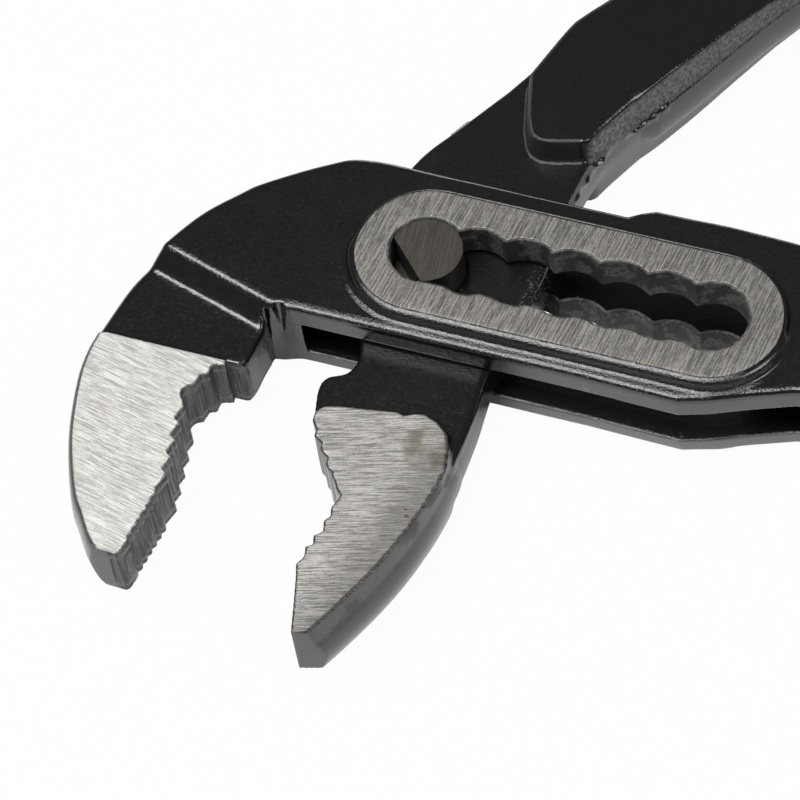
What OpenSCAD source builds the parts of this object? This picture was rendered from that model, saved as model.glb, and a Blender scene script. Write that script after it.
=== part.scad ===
// Water pump pliers with a box joint, lying flat.
// X runs along the adjusting slot towards the handles, the jaw tips point to -Y and Z is up.
// The shapes are drawn from the pivot axis and the middle plane, then placed with the origin
// under the middle of the whole tool, in the plane that it lies on. Lengths are millimetres.

/* [Adjusting slot] */
// Distance from one notch to the next
pitch = 6.5; // [6:0.1:7.5]
// Number of notches
notches = 7; // [5:1:9]
// Diameter of a notch
notch_d = 9.8; // [9:0.1:10.4]
// How far the lower lobes lie below the upper ones
notch_drop = 0.4; // [0:0.1:0.8]
// Depth of the slot's straight floor below its axis
slot_floor = 4.7; // [4.4:0.1:5]

/* [Pivot pin] */
// Radial clearance of the pin in the notches and in the neck
pin_clear = 0.05; // [0.02:0.01:0.1]
// Distance of the pin's flat from its axis
pin_flat = 2.8; // [2.4:0.1:3.4]
// Direction that the flat faces
pin_flat_angle = 225; // [210:1:240]
// How far each pin end lies below the pad
pin_recess = 0.1; // [0:0.05:0.4]

/* [Box joint] */
// Thickness of each cheek, measured at the pad
cheek_t = 5; // [4.4:0.1:6]
// Gap between the two cheeks
box_gap = 6.7; // [6:0.1:7.5]
// Clearance of the neck on each side
neck_clear = 0.2; // [0.1:0.05:0.4]
// Radius of the raised pad round the slot
pad_r = 9.5; // [8.5:0.1:10]
// Height of the pad above the body
pad_raise = 1.35; // [0.8:0.05:1.8]
// Width of the pad's sloping rim
pad_rim = 1.3; // [0.8:0.1:1.6]
// Height of the body's edge above the slot axis
body_top = 12.9; // [12:0.1:14]
// Depth of the body's edge below the slot axis
body_bottom = 11.8; // [11.4:0.1:13]
// Rise of the body's top edge behind the joint
top_rise = 1.8; // [1.2:0.1:2.2]

/* [Jaws] */
// Thickness of both jaws
jaw_t = 9.6; // [8.4:0.1:10.6]
// How far the slotted jaw's tip lies below the slot axis
tip_reach = 52.6; // [50:0.1:54]
// Distance from the pivot axis to the slotted jaw's tooth line
mouth_w = 22.4; // [22.2:0.1:24]
// Breadth of the slotted jaw at its root
jaw_w = 16.5; // [15:0.1:18]
// Depth of the coarse teeth
tooth_depth = 0.7; // [0.5:0.05:1]
// Number of coarse teeth on the slotted jaw
slotted_teeth = 4; // [3:1:5]
// Number of fine teeth on the slotted jaw
fine_teeth = 6; // [4:1:8]
// Depth of the fine teeth
fine_depth = 0.4; // [0.3:0.05:0.6]
// Bulge of the jaws' outer sides at the parting line
jaw_bulge = 1; // [0.6:0.1:1.6]

/* [Handles] */
// Length of the slotted half's handle from the end of its box
slotted_handle_l = 148; // [120:1:170]
// Length of the through half's handle from its shoulder
through_handle_l = 168; // [140:1:190]
// Width of the handles at their narrowest
waist_w = 9.5; // [8.5:0.5:11]
// Width of the handles inside the grips
handle_w = 9.5; // [8.5:0.5:11]
// Thickness of the handles inside the grips
handle_t = 8; // [7:0.5:10]
// Direction of the slotted half's handle at its end
slotted_dir = -11; // [-16:1:-6]
// Direction of the through half's handle at its end, as photographed
through_dir = 30; // [26:1:36]

/* [Grips] */
// Length of the grips over the handles
grip_l = 108; // [80:1:115]
// Wall of the grips at their edges
grip_wall = 3; // [2:0.1:3.5]
// Depth of the grips' rounded edges
grip_round = 3.6; // [2:0.1:4]

/* [Hidden] */
$fn = 64;
notch_r = notch_d / 2;
pin_r = notch_r - pin_clear;
slot_l = (notches - 1) * pitch;
gap_h = box_gap / 2;
neck_h = gap_h - neck_clear;
pad_h = gap_h + cheek_t;
body_h = pad_h - pad_raise;
jaw_h = jaw_t / 2;
// Bevel along the forged edges
edge = 0.6;
// Draft of the forged sides at the parting line
draft = 0.9;
// Splits of each span between two stations
fine_split = 4;
handle_steps = 22;
// Share of a handle's length in which it thins down to its waist
waist_share = 0.27;
through_cut = 40;
steel = [0.13, 0.13, 0.14];
bright = [0.66, 0.65, 0.63];
vinyl = [0.07, 0.07, 0.08];

// A station is one cross-section of a forging: edge points a and b, half thickness h,
// bulges ga and gb of the two sides, and how far the middle is drawn off the line from a to b.
function station(a, b, h, ga, gb, m = [0, 0]) = [a.x, a.y, b.x, b.y, h, ga, gb, m.x, m.y];

// Smooth curve through stations p1 and p2, with p0 and p3 as their neighbours
function between(p0, p1, p2, p3, t) =
    0.5 * (2 * p1 + (p2 - p0) * t + (2 * p0 - 5 * p1 + 4 * p2 - p3) * t * t
        + (3 * p1 - p0 - 3 * p2 + p3) * t * t * t);

function smooth(s, n) = [
    for (i = [0 : len(s) - 2], k = [0 : n - 1])
        between(s[max(i - 1, 0)], s[i], s[i + 1], s[min(i + 2, len(s) - 1)], k / n),
    s[len(s) - 1]
];

// One side of a cross-section from its upper edge to its lower one
function side(h, c, g) = [
    [-c, h], [0, h - c], [0.75 * g, h / 2], [g, 0], [0.75 * g, -h / 2], [0, c - h], [-c, -h]
];

// The cross-section's outline, with bevel c at its edges
function ring(s, c = edge) =
    let (a = [s[0], s[1]], b = [s[2], s[3]], h = s[4])
    let (d = (b - a) / norm(b - a), m = (a + b) / 2 + [s[7], s[8]])
    let (k = min(c, h / 2.2, norm(b - a) / 4))
    let (pa = side(h, k, s[5]), pb = side(h, k, s[6]))
    concat(
        [for (p = pb) [b.x + d.x * p[0], b.y + d.y * p[0], p[1]]],
        [[m.x, m.y, -h]],
        [for (i = [len(pa) - 1 : -1 : 0]) [a.x - d.x * pa[i][0], a.y - d.y * pa[i][0], pa[i][1]]],
        [[m.x, m.y, h]]
    );

// Triangles that join ring i to ring i + 1 in a list of rings of n points
function band(i, n, inward = false) = [
    for (j = [0 : n - 1])
        let (p = i * n + j, q = i * n + (j + 1) % n)
        each inward ? [[p, q, q + n], [p, q + n, p + n]] : [[p, q + n, q], [p, p + n, q + n]]
];

// A forging carried through its rings, closed at both ends. A cap's corners are counted from
// the middle of its upper edge.
module skin(rings) {
    n = len(rings[0]);
    last = len(rings) - 1;
    polyhedron(
        points = [for (r = rings) each r],
        faces = concat(
            [for (i = [0 : last - 1]) each band(i, n)],
            [[for (j = [0 : n - 1]) (j + n - 1) % n]],
            [[for (j = [n - 1 : -1 : 0]) last * n + j]]
        )
    );
}

// A sleeve with an open front: the outer rings go to the end, the inner ones come back
module sleeve(outer, inner) {
    n = len(outer[0]);
    no = len(outer);
    ni = len(inner);
    polyhedron(
        points = concat([for (r = outer) each r], [for (r = inner) each r]),
        faces = concat(
            [for (i = [0 : no - 2]) each band(i, n)],
            [for (i = [no : no + ni - 2]) each band(i, n, true)],
            [for (j = [0 : n - 1])
                let (k = (j + 1) % n)
                each [[j, k, no * n + k], [j, no * n + k, no * n + j]]],
            [[for (j = [n - 1 : -1 : 0]) (no - 1) * n + j]],
            [[for (j = [0 : n - 1]) (no + ni - 1) * n + (j + n - 1) % n]]
        )
    );
}

// Ease from 0 to 1
function ease(t) = let (u = min(max(t, 0), 1)) u * u * (3 - 2 * u);

// Points of a handle's middle line that turns from direction d0 to d1 over its first stretch
function walk(p, d0, d1, turn, l, i) =
    i == 0 ? p : walk(p, d0, d1, turn, l, i - 1)
        + l / handle_steps * dir(d0 + (d1 - d0) * ease((i - 0.5) * l / handle_steps / turn));
function dir(a) = [cos(a), sin(a)];

// Width of a handle at share t of its length: root, waist, then grip
function handle_width(w0, t) =
    t < waist_share ? w0 + (waist_w - w0) * ease(t / waist_share)
        : waist_w + (handle_w - waist_w) * ease((t - waist_share) / 0.4);

// Stations of a handle that starts at p with width w0
function handle(p, d0, d1, turn, l, w0) = [
    for (i = [0 : handle_steps])
        let (t = i / handle_steps, q = walk(p, d0, d1, turn, l, i))
        let (w = handle_width(w0, t) / 2, n = dir(d0 + (d1 - d0) * ease(i * l / handle_steps / turn) + 90))
        station(q + n * w, q - n * w, body_h + (handle_t / 2 - body_h) * ease(t / waist_share), draft, draft)
];

// A handle's or grip's end, drawn in over the length r
function round_end(e, r) =
    let (a = [e[0], e[1]], b = [e[2], e[3]], d = (b - a) / norm(b - a), f = [-d.y, d.x])
    [for (k = [1 : 3])
        let (u = r * (1 - cos(k * 25)), o = f * r * sin(k * 25))
        station(a + o + d * u, b + o - d * u, e[4] - u / 2, e[5], e[6])];
function last(s) = s[len(s) - 1];

// Places a shape that is drawn from the pivot axis and the middle plane
module placed() {
    translate([-middle(0), -middle(1), pad_h]) children();
}
// Middle of the whole tool along one axis
function middle(k) =
    let (v = [for (r = concat(slotted_rings, through_rings, grip_rings(slotted_arm, slotted_handle_l),
        grip_rings(through_arm, through_handle_l)), p = r) p[k]])
    (min(v) + max(v)) / 2;

// Slotted half

jaw_x = -mouth_w - jaw_w;
tip_y = -tip_reach;
outer = jaw_bulge * 0.8;
slotted_jaw = [
    station([-mouth_w - 5, tip_y], [-mouth_w - 1.3, tip_y - 0.2], jaw_h, outer, 0),
    station([-mouth_w - 6.7, tip_y + 1.6], [-mouth_w - 1.2, tip_y + 1.6], jaw_h, outer, 0),
    station([-mouth_w - 8.8, tip_y + 4.4], [-mouth_w - 0.9, tip_y + 4.4], jaw_h, outer, 0),
    station([-mouth_w - 11.2, tip_y + 7.9], [-mouth_w - 0.2, tip_y + 8.4], jaw_h, outer, 0),
    station([-mouth_w - 14.4, tip_y + 15.4], [-mouth_w + 0.3, tip_y + 14], jaw_h, outer, 0),
    station([jaw_x + 0.1, -29], [-mouth_w + 0.3, -31], jaw_h, outer, 0),
    station([jaw_x - 0.2, -24], [-mouth_w + 0.6, -25], jaw_h, outer, 0),
    station([jaw_x + 0.4, -20.7], [-18.6, -21.2], jaw_h, outer, 0.2),
    station([jaw_x + 1.7, -14], [-18.1, -17], jaw_h, outer, 0.2),
    station([jaw_x + 3.2, -9.8], [-17.9, -15], jaw_h, outer, 0.2)
];
slotted_head = [
    station([jaw_x + 4.3, -7.2], [-18.2, -body_bottom - 0.9], body_h, draft, 0.4),
    station([jaw_x + 7.6, -1.3], [-15.3, -body_bottom - 0.1], body_h, draft, draft),
    station([-24.9, body_top - 7.3], [-12, -body_bottom], body_h, draft, draft),
    station([-18, body_top - 2.5], [-9, -body_bottom], body_h, draft, draft),
    station([-12.6, body_top - 0.1], [-5, -body_bottom], body_h, draft, draft),
    station([0, body_top], [2, -body_bottom], body_h, draft, draft),
    station([23.6, body_top], [23.8, -body_bottom - 0.2], body_h, draft, draft)
];
back_top = body_top + top_rise;
slotted_back = [
    station([25.2, body_top + top_rise * 0.55], [25.2, -body_bottom - 0.2], body_h, 0.2, draft),
    station([27, back_top - 0.2], [27, -body_bottom - 0.2], body_h, 0.2, draft),
    station([slot_l - 2, back_top], [slot_l - 1, -body_bottom - 0.2], body_h, 0.2, draft),
    station([slot_l + 3, back_top], [slot_l + 2.6, -body_bottom + 0.9], body_h, 0.2, draft),
    station([slot_l + 7.5, back_top - 0.1], [slot_l + 7.7, -body_bottom + 3], body_h, 0.2, draft),
    station([slot_l + 13, back_top - 0.4], [slot_l + 13, -body_bottom + 5], body_h, 0.2, draft),
    station([slot_l + 21, back_top - 1.2], [slot_l + 21, -body_bottom + 6.8], body_h, 0.5, draft)
];
slotted_root = [slot_l + 26, (back_top - body_bottom + 5.6) / 2];
slotted_arm = handle(slotted_root, -4, slotted_dir, slotted_handle_l, slotted_handle_l, 19.6);
slotted_rings = [
    for (s = concat(smooth(slotted_jaw, fine_split), smooth(slotted_head, fine_split),
        slotted_back, slotted_arm, round_end(last(slotted_arm), 3))) ring(s)
];

// The mouth's tooth line, from the root of the slotted jaw to its tip
root_y = -21.3;
tooth_top = -29.4;
tooth_mid = -39.6;
fine_top = -42.6;
fine_end = tip_y + 2.3;
function saw(p, q, n, depth, lean) = [
    for (i = [0 : n - 1])
        let (u = (q - p) / n, d = u / norm(u))
        each [p + u * i, p + u * (i + lean) + depth * [d.y, -d.x]]
];
slotted_mouth = concat(
    [[-18.6, root_y], [-mouth_w + 1.6, root_y], [-mouth_w, root_y - 1.3], [-mouth_w, root_y - 2.5]],
    [[-mouth_w - 1, root_y - 3.1], [-mouth_w - 1.1, root_y - 4.2]],
    [for (a = [70 : 35 : 210]) [-mouth_w - 1.3, root_y - 6] + 1.3 * dir(a)],
    saw([-mouth_w - 1.4, tooth_top], [-mouth_w + 0.1, tooth_mid], slotted_teeth, tooth_depth, 0.7),
    saw([-mouth_w - 0.3, fine_top], [-mouth_w - 1.4, fine_end], fine_teeth, fine_depth, 0.55),
    [[-mouth_w - 1.4, fine_end], [-mouth_w - 1.6, tip_y - 2], [0, tip_y - 2], [0, root_y]]
);

// The room that the neck needs between the cheeks over its whole travel
box_room = [
    [-13.6, -through_cut], [-13.6, -1], [-19.2, body_top + 2], [-19.2, through_cut],
    [slot_l + 34, through_cut], [slot_l + 32, back_top + 1.4], [slot_l + 24, 8.5], [slot_l + 19, 1.5],
    [slot_l + 19, -1], [slot_l + 27, -13], [slot_l + 27, -through_cut]
];

module slot() {
    linear_extrude(2 * pad_h + 2, center = true) {
        for (i = [0 : notches - 1]) translate([i * pitch, 0]) circle(notch_r);
        for (i = [1 : notches - 1]) translate([i * pitch, -notch_drop]) circle(notch_r);
        translate([0, -slot_floor]) square([slot_l, slot_floor]);
    }
}

// Raised pad with a sloping rim, sunk a little into the body
module pad() {
    sink = 0.5;
    rim = pad_rim * (pad_raise + sink) / pad_raise;
    translate([0, 0, body_h - sink]) {
        for (x = [0, slot_l]) translate([x, 0, 0])
            cylinder(pad_raise + sink, pad_r + rim, pad_r);
        rotate([90, 0, 90])
            linear_extrude(slot_l)
                polygon([
                    [-pad_r - rim, 0], [pad_r + rim, 0],
                    [pad_r, pad_raise + sink], [-pad_r, pad_raise + sink]
                ]);
    }
}

module slotted_half() {
    color(steel) placed() difference() {
        union() {
            skin(slotted_rings);
            pad();
            mirror([0, 0, 1]) pad();
        }
        slot();
        linear_extrude(box_gap, center = true) polygon(box_room);
        linear_extrude(through_cut, center = true) polygon(slotted_mouth);
    }
}

// Through half

through_y = tip_y - 4.6;
through_jaw = [
    station([0.6, through_y], [2.9, through_y + 0.4], jaw_h, 0, jaw_bulge),
    station([-0.2, through_y + 3], [4.4, through_y + 3.2], jaw_h, 0, jaw_bulge),
    station([-2.1, through_y + 9.2], [7.3, through_y + 9.4], jaw_h, 0, jaw_bulge),
    station([-1.2, -42.5], [9.5, -42], jaw_h, 0, jaw_bulge),
    station([-0.3, -36.4], [11.2, -35.8], jaw_h, 0, jaw_bulge),
    station([-3.6, -32], [12, -31.6], jaw_h, 0, jaw_bulge, [0.5, 0.6]),
    station([-7, -27.2], [12.4, -28.2], jaw_h, 0.2, jaw_bulge, [2, 2]),
    station([-7.2, -25], [12.2, -26.4], jaw_h, 0.3, jaw_bulge * 0.7, [4.4, 3.7])
];
through_neck = [
    station([-7.6, -24.2], [12.6, -25.7], neck_h, 0.4, 0.6, [4.2, 3.8]),
    station([-8.2, -21], [12.7, -21.6], neck_h, 0.4, 0.5, [2, 2]),
    station([-7.6, -19.2], [12.6, -18.8], neck_h, 0.4, 0.4),
    station([-5.2, -17.6], [12.5, -16.4], neck_h, 0.3, 0.4),
    station([-4.9, -14], [12.5, -13], neck_h, 0.3, 0.4),
    station([-8.6, -5], [13.6, -6], neck_h, 0.3, 0.4),
    station([-8.9, 4], [15, 4], neck_h, 0.3, 0.4),
    station([-8.3, 13], [14.6, 13], neck_h, 0.3, 0.4),
    station([-6.4, 18.4], [14.7, 18], neck_h, 0.5, 0.4),
    station([-3.2, 23.8], [15.6, 24], neck_h, 0.7, 0.5),
    station([0.9, 30.6], [18.9, 31], neck_h, 0.7, 0.6)
];
through_nose = [
    station([9, 21.6], [11.6, 22.2], body_h - 0.6, 0, 0),
    station([8, 21.9], [13.6, 23.2], body_h, 0, 0.1),
    station([7, 22.9], [15.4, 24.5], body_h, 0, 0.2),
    station([6, 25.4], [16.8, 27], body_h, 0.2, 0.3),
    station([3.8, 31.6], [19.3, 31], body_h, 0.6, 0.6)
];
through_root = [13.8, 37.5];
through_arm = handle(through_root, 58, through_dir, 75, through_handle_l, 16.2);
through_rings = [for (s = concat(smooth(through_jaw, fine_split), smooth(through_neck, fine_split))) ring(s)];
through_arm_rings = [
    for (s = concat(through_nose, through_arm, round_end(last(through_arm), 3))) ring(s)
];

// Tooth line of the through jaw: a notch for round stock, then a smooth tip
flank_top = [-6.9, -27.2];
flank_mid = [0.2, -36.3];
flank_end = [-1.7, through_y + 9.5];
through_mouth = concat(
    [[-12, -26.6], [-7.4, -26.6]],
    saw(flank_top, flank_mid, 5, -tooth_depth * 0.85, 0.35),
    saw(flank_mid, flank_end, 5, -tooth_depth * 0.85, 0.7),
    [flank_end, [0.9, through_y - 0.2], [1.6, through_y - 4], [-12, through_y - 4]]
);

module through_half() {
    color(steel) placed() difference() {
        union() {
            skin(through_rings);
            skin(through_arm_rings);
        }
        cylinder(through_cut, r = notch_r, center = true);
        linear_extrude(through_cut, center = true) polygon(through_mouth);
    }
}

// Pivot pin: round in the neck, with a flat where it runs in the cheeks
module pivot_pin() {
    l = 2 * (pad_h - pin_recess);
    color(bright) placed() difference() {
        cylinder(l, r = pin_r, center = true);
        for (s = [-1, 1])
            rotate(pin_flat_angle)
                translate([pin_flat, -pin_r, s > 0 ? neck_h : -pad_h])
                    cube([pin_r, 2 * pin_r, pad_h - neck_h]);
    }
}

// Grips: moulded sleeves as thick as the pads, so that the tool lies flat on both

function grip_start(l) = round(handle_steps * (1 - grip_l / l));
function covered(arm, l) = [for (i = [grip_start(l) : handle_steps]) arm[i]];
// A handle station grown to the grip's outside
function grown(s, w) =
    let (a = [s[0], s[1]], b = [s[2], s[3]], d = (b - a) / norm(b - a))
    station(a - d * w, b + d * w, pad_h, s[5] + 0.3, s[6] + 0.3);
function grip_rings(arm, l) =
    let (s = [for (c = covered(arm, l)) grown(c, grip_wall)])
    [for (c = concat(s, round_end(last(s), 3 + grip_wall))) ring(c, grip_round)];

module grip(arm, l) {
    color(vinyl) placed()
        sleeve(
            grip_rings(arm, l),
            [for (c = concat(covered(arm, l), round_end(last(arm), 3))) ring(c)]
        );
}

module slotted_grip() {
    grip(slotted_arm, slotted_handle_l);
}

module through_grip() {
    grip(through_arm, through_handle_l);
}

slotted_half();
through_half();
pivot_pin();
slotted_grip();
through_grip();
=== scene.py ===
import math

import bmesh
import bpy
import numpy as np
from mathutils import Matrix, Vector


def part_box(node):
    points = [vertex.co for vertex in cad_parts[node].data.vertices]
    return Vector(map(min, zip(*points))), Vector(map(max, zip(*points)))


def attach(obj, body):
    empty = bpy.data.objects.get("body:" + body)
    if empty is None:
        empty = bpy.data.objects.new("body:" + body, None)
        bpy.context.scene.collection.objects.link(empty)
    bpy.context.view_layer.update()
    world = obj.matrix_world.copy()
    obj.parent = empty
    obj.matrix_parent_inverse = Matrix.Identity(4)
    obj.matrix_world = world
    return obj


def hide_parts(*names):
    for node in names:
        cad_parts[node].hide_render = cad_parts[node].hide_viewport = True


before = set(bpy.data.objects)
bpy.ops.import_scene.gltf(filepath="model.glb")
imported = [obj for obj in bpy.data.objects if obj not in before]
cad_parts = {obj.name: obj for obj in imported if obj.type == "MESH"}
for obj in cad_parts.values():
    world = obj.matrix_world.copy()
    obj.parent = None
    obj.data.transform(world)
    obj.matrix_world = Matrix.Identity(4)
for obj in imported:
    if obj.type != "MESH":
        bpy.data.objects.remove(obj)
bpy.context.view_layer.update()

# Shapes are drawn in millimetres from the pivot axis and the tool's middle plane
MM = 0.001
pin_low, pin_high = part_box("pivot_pin")
PIVOT = np.array((pin_low + pin_high) / 2)

# Slot
NOTCH_R = 4.9
PITCH = 6.5
NOTCHES = 7
NOTCH_DROP = 0.4  # how much lower the second row of notches lies
SLOT_FLOOR = 4.7  # how far below the first notch's middle the straight floor lies
SLOT_L = PITCH * (NOTCHES - 1)

# Half thicknesses of the gap between the cheeks, the neck, the pad, the body and the jaws
GAP_H = 3.35
NECK_H = 3.15
PAD_H = 8.35
BODY_H = 7.0
JAW_H = 4.8

# Grinding
GROUND_FROM = -21.25  # where the grinding of the slotted jaw begins
THROUGH_GROUND_FROM = -19.0  # the same on the through half
LACQUER_STEP = 0.18  # how much lower the slotted half's skin lies beside the ground jaw
GRIND_STOCK = 0.5  # what the grinding takes off the slotted jaw
FACE_STOCK = 0.3  # what it takes off the through jaw

# Pad round the slot
PAD_R = 9.5
PAD_BANK = [  # slope at places outward from the pad's outline
    (-1.0, 0), (0, 0.13), (0.1, 0.19), (0.74, 0.54), (0.84, 1.45), (1.30, 1.45), (1.42, 0.5), (1.75, 0.16),
    (1.9, 0),
]
PAD_BACK_W = 0.9  # width of the plain bank behind the slot
PAD_STOCK, PAD_STOCK_W = 0.2, 0.5  # what the grinding takes off behind the slot, and how far in it is full
PAD_FRONT_Y, PAD_FRONT_W = 2, 4  # where the plain bank begins to change into the stepped one, and how wide
UNEVEN_FROM = 2  # how far off the pad the skin's unevenness is full

# Bank between the slotted jaw and the body
BANK_WAY = (0.282, 0.959)
BANK_FOOT = 19.745  # distance of its foot before the pivot
BANK_SLOPE = 0.8
BANK_ROUND = 0.38

# Steps of the through half, down to the neck
FACE_OUT, FACE_SLOPE, FACE_FOOT, FACE_CREST = 0.22, 5.0, 0.1, 0.15
PLATFORM_OUT, PLATFORM_SLOPE, PLATFORM_ROUND = 0.3, 8.0, 0.08

# Sides of the forgings, at shares of the height
DRAFT = 0.35
SIDE_BULGE = 0.9
CREASE_U, CREASE_SHARE = 0.31, 0.6
FULL_U, FULLER, UNDERCUT = -0.28, 0.75, 0.9
FLASH_U, FLASH_SPREAD = 0.33, 0.1

# Radii of ground, cut-off and cut edges
GROUND_EDGE, END_EDGE, CUT_EDGE = 0.06, 0.12, 0.05

# Handles
HANDLE_H = 4.0
HANDLE_W = 9.5
HANDLE_STEPS = 22
HANDLE_FROM = 40
WAIST_SHARE = 0.27  # share of the length over which a handle narrows and thins
SLOTTED_ARM = dict(root=(65.0, 4.25), turn_from=-4, turn_to=-11, turn_l=148, length=148, width=19.6)
THROUGH_ARM = dict(root=(13.8, 37.5), turn_from=58, turn_to=30, turn_l=75, length=168, width=16.2)

# Grips
GRIP_L = 108
GRIP_WALL = 3.0
GRIP_SPARE = 1.2  # further width of a grip at each side
BORE_ROOM_W, BORE_ROOM_H, BORE_ROOM_L = 0.95, 0.03, 2.9
LIP_R = 1.2
BORE_POWER, OUT_POWER = 6.0, 2.8  # how square the bore and the outside are
GROOVE_AT, GROOVE_W, GROOVE_DEEP = 5.0, 0.8, 0.45
TAIL_BACK, TAIL_L, TAIL_POWER = 3, 9.0, 0.8
TIP_R = 0.001

# Grid of the forgings, and what their meshes may weigh
STEP, FINE_STEP = ((0.26, 0.19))
COARSE = 1.1
GRID_H = 9.0
FAR = 1e9
SPAN_STEPS = 6
MOST_TRIANGLES = 196000
SHARP_ANGLE = 30


def ease(t):
    """Ease from 0 to 1: three squares less two cubes."""
    u = np.clip(t, 0, 1)
    return u * u * (3 - 2 * u)


def swell(s, r):
    """Zero before s = 0 and s after it, with the corner rounded over about r."""
    return (s + np.sqrt(s * s + r * r)) / 2


def ramp(s, rise, slope, foot, crest):
    """Height of a bank that climbs from 0 to rise at a slope from s = 0, with a rounded foot and crest."""
    return slope * (swell(s, foot) - swell(s - rise / slope, crest))


def meet(a, b, r):
    """Larger of two fields, with the edge between them rounded over r."""
    return np.maximum(a, b) + np.maximum(r - np.abs(a - b), 0) ** 2 / (4 * r)


def through_points(p, n):
    """Smooth curve through points: each span is the cubic whose end slopes are half the way between the
    points beside each end."""
    p = np.asarray(p, float)
    q = np.concatenate([p[:1], p, p[-1:]])
    t = (np.arange(n) / n)[None, :, None]
    p0, p1, p2, p3 = (q[i:len(q) - 3 + i, None] for i in range(4))
    curve = 0.5 * (2 * p1 + (p2 - p0) * t + (2 * p0 - 5 * p1 + 4 * p2 - p3) * t ** 2
                   + (3 * p1 - p0 - 3 * p2 + p3) * t ** 3)
    return np.concatenate([curve.reshape(-1, p.shape[1]), p[-1:]])


def arm_line(root, turn_from, turn_to, turn_l, length, width):
    """Middle points, normals and half widths of a handle: equal steps along a heading that eases from one
    direction to another, and a width that eases down to the grip's."""
    i = np.arange(HANDLE_STEPS + 1)
    step = length / HANDLE_STEPS
    heading = np.radians(turn_from + (turn_to - turn_from) * ease((i[1:] - 0.5) * step / turn_l))
    moves = step * np.stack([np.cos(heading), np.sin(heading)], 1)
    middle = np.array(root) + np.concatenate([np.zeros((1, 2)), np.cumsum(moves, 0)])
    across = np.radians(turn_from + (turn_to - turn_from) * ease(i * step / turn_l) + 90)
    t = i / HANDLE_STEPS
    half = (width + (HANDLE_W - width) * ease(t / WAIST_SHARE)) / 2
    return middle, np.stack([np.cos(across), np.sin(across)], 1), half


def saw(p, q, n, depth, lean):
    """Tooth line from p to q: n teeth whose points stand off the line by depth at share lean of each."""
    p, q = np.array(p, float), np.array(q, float)
    u = (q - p) / n
    d = u / np.linalg.norm(u)
    i = np.arange(n)[:, None]
    roots = p + u * i
    points = p + u * (i + lean) + depth * np.array([d[1], -d[0]])
    return np.stack([roots, points], 1).reshape(-1, 2)


def nearest(starts, ends, first, last, x, y):
    """Squared distance of each grid point to the nearest of several straight spans, and the value there of a
    number that runs evenly along each span from its first to its last."""
    best = np.full(x.shape, FAR, np.float32)
    value = np.zeros(x.shape, np.float32)
    for a, b, v, w in zip(starts, ends, first, last):
        e = b - a
        if not e.any():
            continue
        t = np.clip(((x - a[0]) * e[0] + (y - a[1]) * e[1]) / (e @ e), 0, 1)
        d = (x - a[0] - t * e[0]) ** 2 + (y - a[1] - t * e[1]) ** 2
        closer = d < best
        best = np.where(closer, d, best)
        value = np.where(closer, v + t * (w - v), value)
    return best, value


def from_outline(points, x, y, carried=None):
    """Signed distance of each grid point to a closed outline, negative inside, where a line to one side
    crosses the outline an odd number of times; and the value carried by the nearest outline point."""
    points = np.asarray(points, np.float32)
    ends = np.roll(points, -1, 0)
    run = np.zeros(len(points), np.float32) if carried is None else carried
    squared, value = nearest(points, ends, run, np.roll(run, -1), x, y)
    inside = np.zeros(x.shape, bool)
    for a, b in zip(points, ends):
        e = b - a
        if e[1]:
            inside ^= ((a[1] > y) != (b[1] > y)) & (x < e[0] * (y - a[1]) / e[1] + a[0])
    distance = np.where(inside, -1, 1) * np.sqrt(squared)
    return distance if carried is None else (distance, value)


def inside_of(outline):
    """A cut with a closed outline: the signed distance to it."""
    return lambda x, y: from_outline(outline, x, y)


def grid_line(low, *stretches):
    """Sample places along one axis: from low in stretches, each given by its end and its step."""
    places = [np.array([low])]
    for end, step in stretches:
        places.append(np.arange(places[-1][-1] + step, end + step, step))
    return np.concatenate(places).astype(np.float32)


def lumps(x, y, seed, waves, scale):
    """Sum of sine waves of about one scale in seeded directions, between -1 and 1."""
    rng = np.random.default_rng(seed)
    total = np.zeros(x.shape, np.float32)
    for _ in range(waves):
        a, phase, k = rng.uniform(0, 2 * np.pi), rng.uniform(0, 2 * np.pi), rng.uniform(0.5, 1.6)
        total += np.sin((x * np.cos(a) + y * np.sin(a)) * 2 * np.pi * k / scale + phase).astype(np.float32)
    return total / waves


def hammered(x, y, seed):
    """Gentle unevenness of a hammered blank: long waves, and lower short ones."""
    waves, long_h, long_l, short_h, short_l = 9, 0.05, 14, 0.02, 4
    return long_h * lumps(x, y, seed, waves, long_l) + short_h * lumps(x, y, seed + 1, waves, short_l)


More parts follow.
